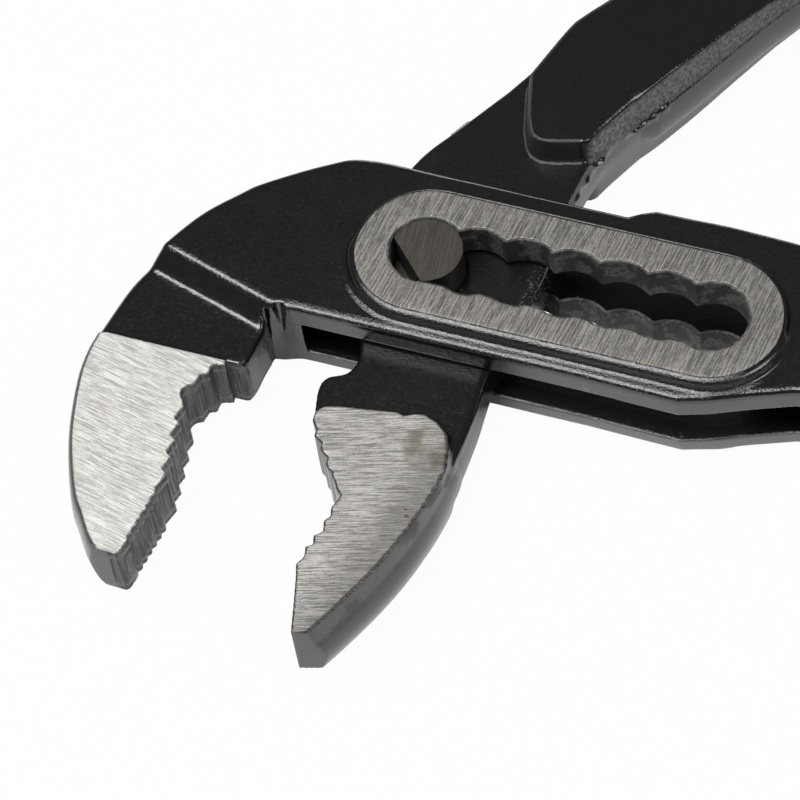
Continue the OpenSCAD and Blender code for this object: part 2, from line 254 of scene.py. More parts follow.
def skin_of(field, xs, ys, zs):
    """Surface where the field is zero. Each cell that it crosses gets one point, the mean of the crossings on
    the cell's edges, and each grid edge that changes sign gets the four-sided face of the cells round it."""
    axes = (xs, ys, zs)
    inside = field < 0
    shape = np.array(field.shape)
    cells, places, faces = [], [], []
    for k in range(3):
        u, v = (k + 1) % 3, (k + 2) % 3
        low = tuple(slice(0, -1) if m == k else slice(1, -1) for m in range(3))
        high = tuple(slice(1, None) if m == k else slice(1, -1) for m in range(3))
        at = np.array(np.nonzero(inside[low] != inside[high]))
        at[u] += 1
        at[v] += 1
        up = at.copy()
        up[k] += 1
        f0, f1 = field[tuple(at)], field[tuple(up)]
        share = f0 / (f0 - f1)
        p = np.stack([axes[m][at[m]] for m in range(3)], 1).astype(np.float64)
        p[:, k] += share * (axes[k][up[k]] - axes[k][at[k]])
        corners = []
        for du, dv in ((-1, -1), (0, -1), (0, 0), (-1, 0)):
            c = at.copy()
            c[u] += du
            c[v] += dv
            corners.append(np.ravel_multi_index(tuple(c), shape))
        corners = np.stack(corners, 1)
        leaving = inside[tuple(at)]
        faces.append(np.where(leaving[:, None], corners, corners[:, ::-1]))
        cells.append(corners.ravel())
        places.append(np.repeat(p, 4, 0))
    cells, places, faces = np.concatenate(cells), np.concatenate(places), np.concatenate(faces)
    names, order = np.unique(cells, return_inverse=True)
    count = np.bincount(order)
    points = np.stack([np.bincount(order, places[:, m]) / count for m in range(3)], 1)
    return points, np.searchsorted(names, faces)


def piece(name, points, faces, body, node):
    """A new piece from points in millimetres round the pivot and four-sided faces, riding on a body in a
    node's stead."""
    mesh = bpy.data.meshes.new(name)
    mesh.vertices.add(len(points))
    mesh.vertices.foreach_set("co", (points * MM + PIVOT).astype(np.float32).ravel())
    mesh.loops.add(faces.size)
    mesh.loops.foreach_set("vertex_index", faces.astype(np.int32).ravel())
    mesh.polygons.add(len(faces))
    mesh.polygons.foreach_set("loop_start", np.arange(0, faces.size, 4, dtype=np.int32))
    mesh.polygons.foreach_set("use_smooth", np.ones(len(faces), bool))
    mesh.update(calc_edges=True)
    mesh.validate()
    obj = bpy.data.objects.new(name, mesh)
    bpy.context.scene.collection.objects.link(obj)
    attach(obj, body)
    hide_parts(node)
    return obj


def thinned(obj):
    """Fewer faces where the surface is flat, so that the piece stays under its limit, with crisp cut edges
    and even light on the flats."""
    count = 2 * len(obj.data.polygons)
    if count > MOST_TRIANGLES:
        cut = obj.modifiers.new("thin", "DECIMATE")
        cut.ratio = MOST_TRIANGLES / count
        cut.use_collapse_triangulate = True
        shown = bpy.context.evaluated_depsgraph_get()
        mesh = bpy.data.meshes.new_from_object(obj.evaluated_get(shown))
        obj.modifiers.clear()
        obj.data = mesh
    obj.data.set_sharp_from_angle(angle=math.radians(SHARP_ANGLE))
    even = obj.modifiers.new("even_flats", "WEIGHTED_NORMAL")
    even.keep_sharp = True
    return obj


def cheeked(u, x, y):
    """Share of the slotted half's bulge at share u of the height: falls slowly from the parting line and
    faster to the edges, but the upper half stands upright along the front of the box."""
    share = 1 - DRAFT * np.abs(u) - (1 - DRAFT) * u * u
    box_x, box_y, soft = -18, -4, 2
    front = ease((x - box_x) / soft) * ease((box_y - y) / soft)
    return share + front * np.where(u > 0, 1 - share, 0)


def shouldered(u, x, y):
    """Share of the through half's bulge at share u of the height: a steep upper wall down to a crease, then a
    fuller lower half that is drawn in below, and on the handle a ragged line of flash along the crease."""
    below = np.clip((CREASE_U - u) / (CREASE_U - FULL_U), 0, 1)
    under = np.clip((FULL_U - u) / (1 + FULL_U), 0, 1)
    upper = CREASE_SHARE * (1 - u) / (1 - CREASE_U)
    lower = CREASE_SHARE + FULLER * (1 - (1 - below) ** 2) - UNDERCUT * under ** 2
    share = np.where(u > CREASE_U, upper, lower)
    return share + flash(x, y) * np.exp(-((u - FLASH_U) / FLASH_SPREAD) ** 2)


def flash(x, y):
    """How far the flash stands out along the through handle: seeded long and short waves, cut off at none and
    at a most, eased in and out, and large beside the neck."""
    waves, long_l, short_l = 12, 6.0, 2.4
    mean, long_h, short_h, most = 0.45, 1.5, 1.0, 1.3
    start, start_l, stop, stop_l = 8, 4, 36, 6
    large, less, less_from, less_l = 4.0, 2.6, 10, 14
    ragged = mean + long_h * lumps(x, y, 11, waves, long_l) + short_h * lumps(x, y, 12, waves, short_l)
    ragged = np.clip(ragged, 0, most) * ease((y - start) / start_l) * ease((stop - y) / stop_l)
    return ragged * (large - less * ease((y - less_from) / less_l))


def forging(outline, bulges, profile, height, ground, xs, ys, edge_r, ends, cuts, folds=()):
    """A die-forged half: its side stands on an outline and swells to the parting line, its faces follow a
    height map and are ground flat at a plane, its jaw's end is cut off by planes, and cuts and folds go into
    it. The field is the rounded larger of side and face, then of each end plane and each cut turned over."""
    x, y = np.meshgrid(xs, ys, indexing="ij")
    side, bulge = from_outline(outline, x, y, np.asarray(bulges, np.float32))
    top = height(x, y)[..., None]
    gx, gy = np.gradient(top[..., 0], xs, ys)
    steep = np.sqrt(1 + gx ** 2 + gy ** 2)[..., None]
    levels = (np.arange(int(GRID_H / STEP)) + 0.5) * STEP
    zs = np.concatenate([-levels[::-1], levels]).astype(np.float32)
    z = zs[None, None]
    depth = np.abs(z)
    u = np.clip(z / np.maximum(top, JAW_H), -1, 1)
    field = side[..., None] - bulge[..., None] * profile(u, x[..., None], y[..., None])
    field = meet(field, (depth - top) / steep, edge_r(x, y)[..., None])
    field = meet(field, depth - ground(x, y)[..., None], GROUND_EDGE)
    for a, b, c in ends:
        field = meet(field, (a * x + b * y - c)[..., None], END_EDGE)
    for hole, reach in cuts:
        hollow = hole(x, y)[..., None]
        if reach:
            hollow = np.maximum(hollow, depth - reach)
        field = meet(field, -hollow, CUT_EDGE)
    for fx, fy, taper, lowest in folds:
        field = meet(field, taper * (z - lowest) - np.hypot(x - fx, y - fy)[..., None], CUT_EDGE)
    return skin_of(field.astype(np.float32), xs, ys, zs)


def edges_of(stations):
    """Closed outline and its bulges: up the first edge of the stations and back down the second."""
    s = np.asarray(stations, float)
    outline = np.concatenate([s[:, 0:2], s[::-1, 2:4]])
    return outline, np.concatenate([s[:, 4], s[::-1, 5]])


def arm_stations(arm, bulge):
    """Stations of a handle: half its width to each side of its middle line, with one bulge on both edges."""
    middle, normal, half = arm_line(**arm)
    a, b = middle + normal * half[:, None], middle - normal * half[:, None]
    return np.concatenate([a, b, np.full((len(a), 2), bulge)], 1)


def arm_thins(arm, x, y):
    """Half thickness of a handle where it runs, full at its root and thinner in the grip."""
    middle, _, _ = arm_line(**arm)
    share = np.linspace(0, 1, len(middle))
    _, t = nearest(middle[:-1], middle[1:], share[:-1], share[1:], x, y)
    return BODY_H + (HANDLE_H - BODY_H) * ease(t / WAIST_SHARE)


# Slotted half: stations give the outer edge, the inner edge and the two bulges at the parting line

SLOTTED_JAW = [
    (-26.0, -54.0, -23.8, -54.0, 0.8, 0), (-27.4, -52.6, -23.7, -52.8, 0.8, 0),
    (-29.1, -51.0, -23.6, -51.0, 0.8, 0), (-31.2, -48.2, -23.3, -48.2, 0.8, 0),
    (-33.6, -44.7, -22.6, -44.2, 0.8, 0), (-36.8, -37.2, -22.1, -38.6, 0.8, 0),
    (-38.8, -29.0, -22.1, -31.0, 0.8, 0), (-39.1, -24.0, -21.8, -25.0, 0.8, 0),
    (-38.5, -20.7, -18.6, -21.2, 0.8, 0.2), (-37.2, -14.0, -18.0, -17.0, 0.8, 0.2),
    (-35.9, -10.4, -17.8, -15.4, 0.8, 0.2),
]
SLOTTED_TIP = [(-0.0587, -0.9983, 54.0)]  # end plane of the jaw: outward direction and distance
SLOTTED_CORNER = [
    (-35.4, -9.1, -17.95, -14.2, 0.9, 0.1), (-35.1, -8.4, -18.0, -13.35, 0.9, 0.1),
    (-34.8, -7.8, -17.0, -12.8, 0.9, 0.2),
]
SLOTTED_HEAD = [
    (-34.6, -7.2, -16.4, -12.4, 0.9, 0.5), (-31.3, -1.3, -15.0, -11.9, 0.9, 0.9),
    (-27.5, 3.1, -13.6, -11.8, 0.9, 0.9), (-24.9, 5.6, -12.0, -11.8, 0.9, 0.9),
    (-18.0, 10.4, -9.0, -11.8, 0.9, 0.9), (-12.6, 12.7, -5.0, -11.8, 0.9, 0.9),
    (0.0, 12.9, 2.0, -11.8, 0.9, 0.9), (23.6, 12.9, 23.8, -11.75, 0.9, 0.9),
]
SLOTTED_BACK = [
    (25.2, 14.0, 25.2, -11.75, 0.2, 0.9), (27.0, 14.8, 27.0, -11.8, 0.2, 0.9),
    (37.0, 15.0, 38.0, -12.0, 0.2, 0.9), (42.0, 14.9, 41.6, -10.9, 0.2, 0.9),
    (46.5, 14.7, 46.7, -8.8, 0.2, 0.9), (52.0, 14.3, 52.0, -6.8, 0.2, 0.9),
    (60.0, 13.5, 60.0, -5.0, 0.5, 0.9),
]
HOLLOW_X, HOLLOW_Y, HOLLOW_R = -23.6, -27.25, 1.3  # round hollow between the mouth's steps and its teeth
SLOTTED_MOUTH = np.concatenate([
    [(-18.6, -21.25), (-20.85, -21.25), (-20.8, -21.95), (-22.35, -22.4), (-22.4, -23.9), (-23.35, -24.25)],
    [(-23.6, -25.6)],
    [(HOLLOW_X + HOLLOW_R * math.cos(math.radians(a)), HOLLOW_Y + HOLLOW_R * math.sin(math.radians(a)))
     for a in range(95, 236, 20)],
    saw((-23.75, -29.3), (-22.25, -39.6), 4, 0.82, 0.72),
    [(-22.25, -39.6), (-23.0, -41.95)],
    saw((-22.6, -42.85), (-23.7, -50.3), 6, 0.36, 0.52),
    [(-23.7, -50.3), (-24.1, -52.2), (-25.3, -53.4), (-25.3, -54.6), (0, -54.6), (0, -21.25)],
])
ROOT_FOLDS = [(-16.35, -12.9, 0.14, 0.6), (-18.15, -13.5, 0.06, -3.0)]  # place, taper, lowest point
BOX_ROOM = [
    (-13.6, -40), (-13.6, -1), (-19.2, 14.9), (-19.2, 40), (73, 40), (71, 16.1), (63, 8.5), (58, 1.5),
    (58, -1), (66, -13), (66, -40),
]


def bank_run(x, y):
    """How far a point lies past the foot of the bank between jaw and body."""
    return BANK_WAY[0] * x + BANK_WAY[1] * y + BANK_FOOT


def slotted_height(x, y):
    """Jaw, the bank up to the body, the raised pad and the thinning handle, with shallow unevenness."""
    jaw = JAW_H - LACQUER_STEP + (LACQUER_STEP + GRIND_STOCK) * ease((GROUND_FROM - y) / 0.25)
    h = jaw + ramp(bank_run(x, y), BODY_H - JAW_H + LACQUER_STEP, BANK_SLOPE, BANK_ROUND, BANK_ROUND)
    h = np.where(x > HANDLE_FROM, np.minimum(h, arm_thins(SLOTTED_ARM, x, y)), h)
    off = np.hypot(x - np.clip(x, 0, SLOT_L), y) - PAD_R
    front = ease((PAD_FRONT_Y - y) / PAD_FRONT_W)
    plain = ease(off / PAD_BACK_W) - PAD_STOCK * ease(-off / PAD_STOCK_W)
    drop = front * pad_drop(off) + (1 - front) * plain
    return h + hammered(x, y, 3) * ease(off / UNEVEN_FROM) + (PAD_H - BODY_H) * (1 - drop)


def pad_drop(off):
    """Share of the pad's height that is lost at a distance off its outline: a gentle shoulder, a short steep
    bank and a gentle foot, whose slopes are summed in fine steps."""
    s = np.linspace(PAD_BANK[0][0], PAD_BANK[-1][0], 400)
    places, slopes = np.array(PAD_BANK).T
    drop = np.cumsum(np.interp(s, places, slopes))
    drop -= np.interp(0, s, drop)
    return np.interp(off, s, drop / drop[-1])


def slotted_ground(x, y):
    """Plane of the grinding: low over the jaw, high over the pad."""
    return np.where(bank_run(x, y) < -1, JAW_H, PAD_H).astype(np.float32)


def slotted_edges(x, y):
    """Radius of the edges: a little wider along the front of the box, widest round the jaw."""
    under = ease((x + 18) / 4) * ease((-6 - y) / 3) * ease((50 - x) / 6)
    jaw = ease((GROUND_FROM - y) / 1.5)
    return 0.9 + 0.1 * under + 0.7 * jaw


def slot_hollow(x, y):
    """Adjusting slot: the nearest of two rows of round notches and the straight floor between them."""
    d = np.maximum(np.abs(x - SLOT_L / 2) - SLOT_L / 2, np.abs(y + SLOT_FLOOR / 2) - SLOT_FLOOR / 2)
    for n in range(NOTCHES):
        d = np.minimum(d, np.hypot(x - n * PITCH, y) - NOTCH_R)
        if n:
            d = np.minimum(d, np.hypot(x - n * PITCH, y + NOTCH_DROP) - NOTCH_R)
    return d


def make_slotted_half():
    """The slotted half: jaw, box with its two cheeks, pads, slot and handle."""
    jaw, head = through_points(SLOTTED_JAW, SPAN_STEPS), through_points(SLOTTED_HEAD, SPAN_STEPS)
    arm = arm_stations(SLOTTED_ARM, SIDE_BULGE)
    outline, bulges = edges_of(np.concatenate([jaw, SLOTTED_CORNER, head, SLOTTED_BACK, arm]))
    xs = grid_line(-42.5, (-14, FINE_STEP), (112, STEP), (216, COARSE))
    ys = grid_line(-55.5, (-11, FINE_STEP), (18, STEP))
    cuts = [(slot_hollow, 0), (inside_of(BOX_ROOM), GAP_H), (inside_of(SLOTTED_MOUTH), 0)]
    points, faces = forging(outline, bulges, cheeked, slotted_height, slotted_ground, xs, ys,
                            slotted_edges, SLOTTED_TIP, cuts, ROOT_FOLDS)
    return thinned(piece("slotted_forging", points, faces, "slotted_half", "slotted_half"))


# Through half: stations give the left edge, the right edge and the two bulges

THROUGH_JAW = [
    (1.0, -58.8, 2.1, -58.4, 0, 1.0), (0.6, -57.2, 2.9, -56.8, 0, 1.0), (-0.2, -54.2, 4.4, -54.0, 0, 1.0),
    (-2.1, -48.0, 7.3, -47.8, 0, 1.0), (-1.2, -42.5, 9.5, -42.0, 0, 0.95), (-0.3, -36.4, 11.2, -35.8, 0, 0.8),
    (-3.6, -32.0, 12.0, -31.6, 0, 0.6), (-7.0, -27.2, 12.4, -28.2, 0.1, 0.45),
    (-7.2, -25.0, 12.4, -26.4, 0.1, 0.4),
]
THROUGH_TIP = [(0.259, -0.966, 55.57)]
THROUGH_NECK = [
    (-7.6, -24.2, 12.5, -25.4, 0.15, 0.35), (-8.2, -21.0, 12.6, -21.6, 0.2, 0.3),
    (-7.6, -19.2, 12.6, -18.8, 0.2, 0.25), (-5.2, -17.6, 12.5, -16.4, 0.2, 0.2),
    (-4.9, -14.0, 12.5, -13.0, 0.2, 0.2), (-8.6, -5.0, 13.6, -6.0, 0.2, 0.2),
    (-8.9, 4.0, 14.9, 4.0, 0.2, 0.2), (-8.3, 13.0, 14.4, 13.0, 0.2, 0.2), (-6.4, 18.4, 14.6, 18.0, 0.3, 0.3),
    (-3.2, 23.8, 15.6, 24.0, 0.4, 0.5), (0.9, 30.6, 18.9, 31.0, 0.4, 0.5),
]
THROUGH_NOSE = [
    (8.9, 21.2, 10.4, 21.4, 0, 0), (8.3, 21.3, 11.9, 21.8, 0, 0), (7.4, 21.7, 13.4, 22.2, 0, 0),
    (6.8, 22.4, 14.6, 22.6, 0, 0), (6.4, 23.2, 15.5, 23.1, 0, 0), (5.6, 25.0, 16.6, 25.4, 0, 0),
    (3.8, 31.6, 19.5, 31.0, 0, 0),
]
JAW_FACE = [
    (-12, -26.5), (-6.9, -25.2), (-6.7, -24.8), (-6.0, -24.3), (-4.1, -23.8), (1.2, -23.0), (3.5, -22.6),
    (4.5, -22.9), (5.5, -22.3), (7.0, -22.0), (9.0, -22.7), (10.8, -24.1), (11.7, -26.0), (12.2, -28.3),
    (16, -40), (16, -60), (-12, -60),
]
THROUGH_MOUTH = [
    (-12, -25.4), (-7.0, -25.4), (-6.9, -26.8), (-6.4, -27.5), (-5.9, -28.1), (-6.0, -29.0), (-4.6, -29.8),
    (-4.4, -30.9), (-3.15, -31.65), (-3.05, -33.0), (-1.75, -33.7), (-1.7, -34.8), (0.35, -36.5),
    (0.25, -37.3), (-0.2, -38.6), (0.15, -39.8), (-0.45, -40.7), (0.0, -42.25), (-1.0, -43.1), (-0.6, -44.4),
    (-1.45, -44.9), (-1.1, -46.4), (-1.75, -47.7), (-1.2, -49.3), (-0.2, -52.9), (0.75, -56.5), (1.0, -57.4),
    (1.6, -61.2), (-12, -61.2),
]


def through_height(x, y):
    """Jaw face above the neck, and the platform that the handle starts with, with shallow unevenness."""
    face = from_outline(JAW_FACE, x, y)
    platform = from_outline(edges_of(np.concatenate([THROUGH_NOSE, arm_stations(THROUGH_ARM, 0)]))[0], x, y)
    rise = arm_thins(THROUGH_ARM, x, y) - NECK_H
    h = NECK_H + ramp(FACE_OUT - face, JAW_H - NECK_H + FACE_STOCK, FACE_SLOPE, FACE_FOOT, FACE_CREST)
    bank = ramp(PLATFORM_OUT - platform, rise, PLATFORM_SLOPE, PLATFORM_ROUND, PLATFORM_ROUND)
    return h + bank + np.where(platform < 0, hammered(x, y, 6), 0)


def through_ground(x, y):
    """Plane of the grinding over the jaw."""
    return np.where(y < THROUGH_GROUND_FROM, JAW_H, PAD_H).astype(np.float32)


def through_edges(x, y):
    """Radius of the edges: small round the jaw, wider on the neck's right side and on the handle."""
    neck = ease((x - 8) / 2) * ease((y + 29) / 4)
    return 0.5 + np.maximum(0.6 * neck, 0.35 * ease((y - 18) / 4))


def pin_hole(x, y):
    """Round hole of the pin in the neck."""
    return np.hypot(x, y) - NOTCH_R


def make_through_half():
    """The through half: jaw, the neck that passes the box, and handle."""
    jaw, neck = through_points(THROUGH_JAW, SPAN_STEPS), through_points(THROUGH_NECK, SPAN_STEPS)
    outline, bulges = edges_of(np.concatenate([jaw, neck, arm_stations(THROUGH_ARM, SIDE_BULGE)]))
    xs = grid_line(-12, (58, STEP), (160, COARSE))
    ys = grid_line(-60, (-19, FINE_STEP), (90, STEP), (148, COARSE))
    points, faces = forging(outline, bulges, shouldered, through_height, through_ground, xs, ys,
                            through_edges, THROUGH_TIP, [(pin_hole, 0), (inside_of(THROUGH_MOUTH), 0)])
    return thinned(piece("through_forging", points, faces, "through_half", "through_half"))


# Grips

def sleeve_rings(length, half):
    """Place along the handle, half width, half height and squareness of a sleeve's rings: from the blind end
    of the bore forward, round the front lip, back along the outside with one groove, and round the tail."""
    first = round(HANDLE_STEPS * (1 - GRIP_L / length)) * length / HANDLE_STEPS
    bore_w, bore_h = half + BORE_ROOM_W, HANDLE_H + BORE_ROOM_H
    out_w, out_h = half + GRIP_WALL + GRIP_SPARE, PAD_H
    end = length + BORE_ROOM_L
    place = np.concatenate([[end + 0.05, end + 0.05, end - 0.4], np.linspace(end - 2, first + LIP_R, 40)])
    share = np.concatenate([[TIP_R, 0.9], np.ones(len(place) - 2)])
    bore = (place, bore_w * share, bore_h * share, np.full(len(place), BORE_POWER))
    a = np.radians(np.linspace(0, 180, 9))
    lip = (first + LIP_R - LIP_R * np.sin(a), (bore_w + out_w) / 2 - (out_w - bore_w) / 2 * np.cos(a),
           (bore_h + out_h) / 2 - (out_h - bore_h) / 2 * np.cos(a),
           BORE_POWER - (BORE_POWER - OUT_POWER) * ease(a / np.pi))
    t = np.linspace(first + LIP_R, length - TAIL_BACK, 90)[1:]
    groove = GROOVE_DEEP * np.exp(-((t - first - GROOVE_AT) / GROOVE_W) ** 2)
    outside = (t, out_w - groove, out_h - groove, np.full(len(t), OUT_POWER))
    a = np.radians(np.linspace(0, 90, 12))[1:]
    narrow = np.cos(a) ** TAIL_POWER
    tail = (length - TAIL_BACK + TAIL_L * np.sin(a), out_w * narrow + TIP_R, out_h * narrow + TIP_R,
            np.full(len(a), OUT_POWER))
    return np.concatenate([np.stack(rows, 1) for rows in (bore, lip, outside, tail)]).T


def make_grip(name, arm, body, node):
    """A moulded sleeve on a handle: its rings are super-ellipses across the handle's middle line, which is
    drawn on straight past its end."""
    middle, normal, half = arm_line(**arm)
    along = np.linspace(0, arm["length"], HANDLE_STEPS + 1)
    heading = np.stack([normal[:, 1], -normal[:, 0]], 1)
    t, w, h, power = sleeve_rings(arm["length"], half[-1])[..., None]
    on = np.clip(t[:, 0], 0, arm["length"])

    def carried(values):
        """Pairs of values along the handle, taken at the rings."""
        return np.stack([np.interp(on, along, values[:, k]) for k in range(2)], 1)

    centre = carried(middle) + (t[:, 0] - on)[:, None] * carried(heading)
    side = carried(normal)
    turn = np.linspace(0, 2 * np.pi, 64, endpoint=False)[None]
    u = np.sign(np.cos(turn)) * np.abs(np.cos(turn)) ** (2 / power) * w
    v = np.sign(np.sin(turn)) * np.abs(np.sin(turn)) ** (2 / power) * h
    points = np.stack([centre[:, :1] + side[:, :1] * u, centre[:, 1:] + side[:, 1:] * u, v], 2)
    rings, n = points.shape[:2]
    i, j = np.meshgrid(np.arange(rings - 1), np.arange(n), indexing="ij")
    k = (j + 1) % n
    faces = np.stack([i * n + j, (i + 1) * n + j, (i + 1) * n + k, i * n + k], 2).reshape(-1, 4)
    obj = piece(name, points.reshape(-1, 3), faces, body, node)
    whole = bmesh.new()
    whole.from_mesh(obj.data)
    bmesh.ops.remove_doubles(whole, verts=whole.verts, dist=0.02 * MM)
    bmesh.ops.recalc_face_normals(whole, faces=whole.faces)
    whole.to_mesh(obj.data)
    whole.free()
    return obj


slotted = make_slotted_half()
through = make_through_half()
slotted_sleeve = make_grip("slotted_sleeve", SLOTTED_ARM, "slotted_half", "slotted_grip")
through_sleeve = make_grip("through_sleeve", THROUGH_ARM, "through_half", "through_grip")

# Pin: its CAD solid with broken edges

PIN_EDGE = 0.12
PIN_WELD = 0.01
PIN_CORNER = 40
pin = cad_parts["pivot_pin"]
weld = pin.modifiers.new("weld", "WELD")
weld.merge_threshold = PIN_WELD * MM
chamfer = pin.modifiers.new("chamfer", "BEVEL")
chamfer.width = PIN_EDGE * MM
chamfer.segments = 2
chamfer.limit_method = "ANGLE"
chamfer.angle_limit = math.radians(PIN_CORNER)


class Wiring:
    """The nodes of one material or world. Every call adds a node and gives its output."""

    def __init__(self, tree):
        self.tree = tree
        tree.nodes.clear()

    def plug(self, socket, value):
        """Links an output to a socket, or sets its value; a colour of three numbers is made opaque."""
        if isinstance(value, bpy.types.NodeSocket):
            self.tree.links.new(value, socket)
        elif socket.type == "RGBA":
            socket.default_value = (*value, 1)
        else:
            socket.default_value = value

    def node(self, kind, output=0, **plugs):
        """Any node, with its sockets filled by name."""
        made = self.tree.nodes.new("ShaderNode" + kind)
        for key, value in plugs.items():
            self.plug(made.inputs[key.replace("_", " ")], value)
        return made.outputs[output]

    def parts(self, vector):
        """The three numbers of a vector."""
        made = self.tree.nodes.new("ShaderNodeSeparateXYZ")
        self.plug(made.inputs[0], vector)
        return made.outputs

    def math(self, operation, *values):
        """One step of arithmetic."""
        made = self.tree.nodes.new("ShaderNodeMath")
        made.operation = operation
        for socket, value in zip(made.inputs, values):
            self.plug(socket, value)
        return made.outputs[0]

    def joined(self, operation, values):
        """One operation carried through all values."""
        total = values[0]
        for value in values[1:]:
            total = self.math(operation, total, value)
        return total

    def times(self, *values):
        """Product of values."""
        return self.joined("MULTIPLY", values)

    def plus(self, *values):
        """Sum of values."""
        return self.joined("ADD", values)

    def most(self, *values):
        """Largest of values."""
        return self.joined("MAXIMUM", values)

    def less(self, a, b):
        """a less b."""
        return self.math("SUBTRACT", a, b)

    def without(self, mask):
        """1 where a mask is 0."""
        return self.less(1.0, mask)

    def band(self, value, low, high, to_low=0.0, to_high=1.0):
        """Value eased from to_low at low to to_high at high."""
        made = self.tree.nodes.new("ShaderNodeMapRange")
        made.interpolation_type = "SMOOTHSTEP"
        given = {"Value": value, "From Min": low, "From Max": high, "To Min": to_low, "To Max": to_high}
        for key, plugged in given.items():
            self.plug(made.inputs[key], plugged)
        return made.outputs[0]

    def between(self, kind, share, a, b):
        """a where share is 0 and b where it is 1."""
        n = ("FLOAT", "VECTOR", "RGBA").index(kind)
        made = self.tree.nodes.new("ShaderNodeMix")
        made.data_type = kind
        for place, value in ((0, share), (2 + 2 * n, a), (3 + 2 * n, b)):
            self.plug(made.inputs[place], value)
        return made.outputs[n]

    def blend(self, share, a, b):
        """Number between a and b."""
        return self.between("FLOAT", share, a, b)

    def turn(self, share, a, b):
        """Direction between a and b."""
        return self.between("VECTOR", share, a, b)

    def mix(self, share, a, b):
        """Colour between a and b."""
        return self.between("RGBA", share, a, b)

    def shaders(self, share, a, b):
        """Surface between a and b."""
        made = self.tree.nodes.new("ShaderNodeMixShader")
        for socket, value in zip(made.inputs, (share, a, b)):
            self.plug(socket, value)
        return made.outputs[0]

    def end(self, kind, surface):
        """Ends the tree in a surface."""
        made = self.tree.nodes.new("ShaderNode" + kind)
        self.plug(made.inputs[0], surface)


class Finish(Wiring):
    """One finish of a piece, with masks by place, in millimetres from the pivot, and by a face's slope."""

    def __init__(self, name):
        self.material = bpy.data.materials.new(name)
        self.material.use_nodes = True
        super().__init__(self.material.node_tree)
        own = self.node("TexCoord", "Object")
        self.place = self.node("Mapping", Vector=own, Location=list(-PIVOT / MM), Scale=[1 / MM] * 3)
        self.x, self.y, self.z = self.parts(self.place)
        self.depth = self.math("ABSOLUTE", self.z)
        upright = self.math("ABSOLUTE", self.parts(self.node("NewGeometry", "Normal"))[2])
        self.wall = self.band(upright, 0.55, 0.35)
        self.level = self.band(upright, 0.72, 0.86)
        self.nearly_level = self.band(upright, 0.3, 0.5)
        self.dead_level = self.band(upright, 0.985, 0.998)

    def above(self, value, low, soft=0.03):
        """1 where value lies above low."""
        return self.band(value, self.less(low, soft), low)

    def far(self, dx, dy):
        """Length of a way in the plane."""
        return self.math("SQRT", self.plus(self.math("POWER", dx, 2.0), self.math("POWER", dy, 2.0)))

    def spot(self, x, y, r, soft):
        """1 inside a round mark, fading out over soft."""
        return self.band(self.far(self.less(self.x, x), self.less(self.y, y)), r + soft, r)

    def noise(self, scale, detail=3.0, rough=0.55, place=None):
        """Cloudy pattern with about so many clouds to the millimetre."""
        return self.node("TexNoise", Vector=place or self.place, Scale=scale, Detail=detail, Roughness=rough)

    def grain(self, turn, along, across, detail=4.0):
        """Streaks of a grinding wheel: noise drawn out along a direction in the plane."""
        turned = self.node("Mapping", Vector=self.place, Rotation=(0, 0, -math.radians(turn)))
        drawn = self.node("Mapping", Vector=turned, Scale=(along, across, across))
        return self.noise(1.0, detail, 0.6, drawn)

    def bump(self, height, distance, strength=1.0, normal=None):
        """Normal of a skin whose pattern is so many millimetres high, over another normal if one is given."""
        under = {"Normal": normal} if normal else {}
        return self.node("Bump", Height=height, Distance=distance * MM, Strength=strength, **under)

    def surface(self, **plugs):
        """Ends the finish in one principled surface."""
        self.end("OutputMaterial", self.node("BsdfPrincipled", **plugs))
        return self.material


# Colours: pairs are the pale and the dark streaks of ground steel; the pad and the two jaws are one steel,
# each made paler or darker by how much lamp light it catches: painted light and shade
COAT = (0.004, 0.004, 0.0042)
COAT_DUSTY = (0.009, 0.009, 0.009)
COAT_SPECK = (0.09, 0.09, 0.085)
PAD_STEEL_PAINTED_LIGHT = (1.0, 0.966, 0.916), (0.36, 0.343, 0.318)
SLOTTED_JAW_STEEL_PAINTED_LIGHT = (0.60, 0.590, 0.566), (0.35, 0.342, 0.325)
THROUGH_JAW_STEEL_PAINTED_SHADE = (0.43, 0.417, 0.398), (0.19, 0.184, 0.174)
PIN_STEEL = (0.125, 0.117, 0.104), (0.075, 0.070, 0.061)
STEEL_PIT = (0.2, 0.19, 0.175)
# Painted shade for the through jaw's right edge
STEEL_SHADED = (0.10, 0.096, 0.09)
STAIN = (0.13, 0.115, 0.09)
RUST = (0.09, 0.055, 0.04)
DUST = (0.10, 0.098, 0.092)
WORN = (0.11, 0.107, 0.101)
TOOL_DARK = (0.004, 0.004, 0.004)
TOOL_PALE = (0.02, 0.02, 0.02)
SCUFF = (0.14, 0.135, 0.125)
SLEEVE_DARK = (0.016, 0.016, 0.017)
SLEEVE_PALE = (0.030, 0.030, 0.031)

# Looks of the skins
COAT_IOR = 1.85
COAT_BUMP = 0.045
GROUND_BUMP, GROUND_BUMP_SHARE = 0.05, 0.6
WHEEL = 0.8  # how much wider ground steel scatters across its streaks than along them
DULL = 0.28  # roughness of flecked and rubbed lacquer
MATT = 0.6  # roughness of torn lacquer


def across(turn):
    """Direction in the plane across streaks that run at an angle."""
    return (-math.sin(math.radians(turn)), math.cos(math.radians(turn)), 0.0)


def coated(f):
    """Black lacquer over a forged skin: colour, roughness and height."""
    cloud = f.noise(0.16, 4)
    fine = f.noise(1.7, 3)
    specks = f.band(f.noise(4.2, 2), 0.71, 0.77)
    colour = f.mix(f.band(cloud, 0.45, 0.8, 0, 0.6), COAT, COAT_DUSTY)
    colour = f.mix(f.times(specks, 0.3), colour, COAT_SPECK)
    rough = f.blend(f.band(fine, 0.3, 0.7), 0.12, 0.2)
    height = f.plus(f.times(f.noise(3.2, 2), 0.7), f.times(f.noise(1.1, 2), 0.3))
    return colour, rough, height


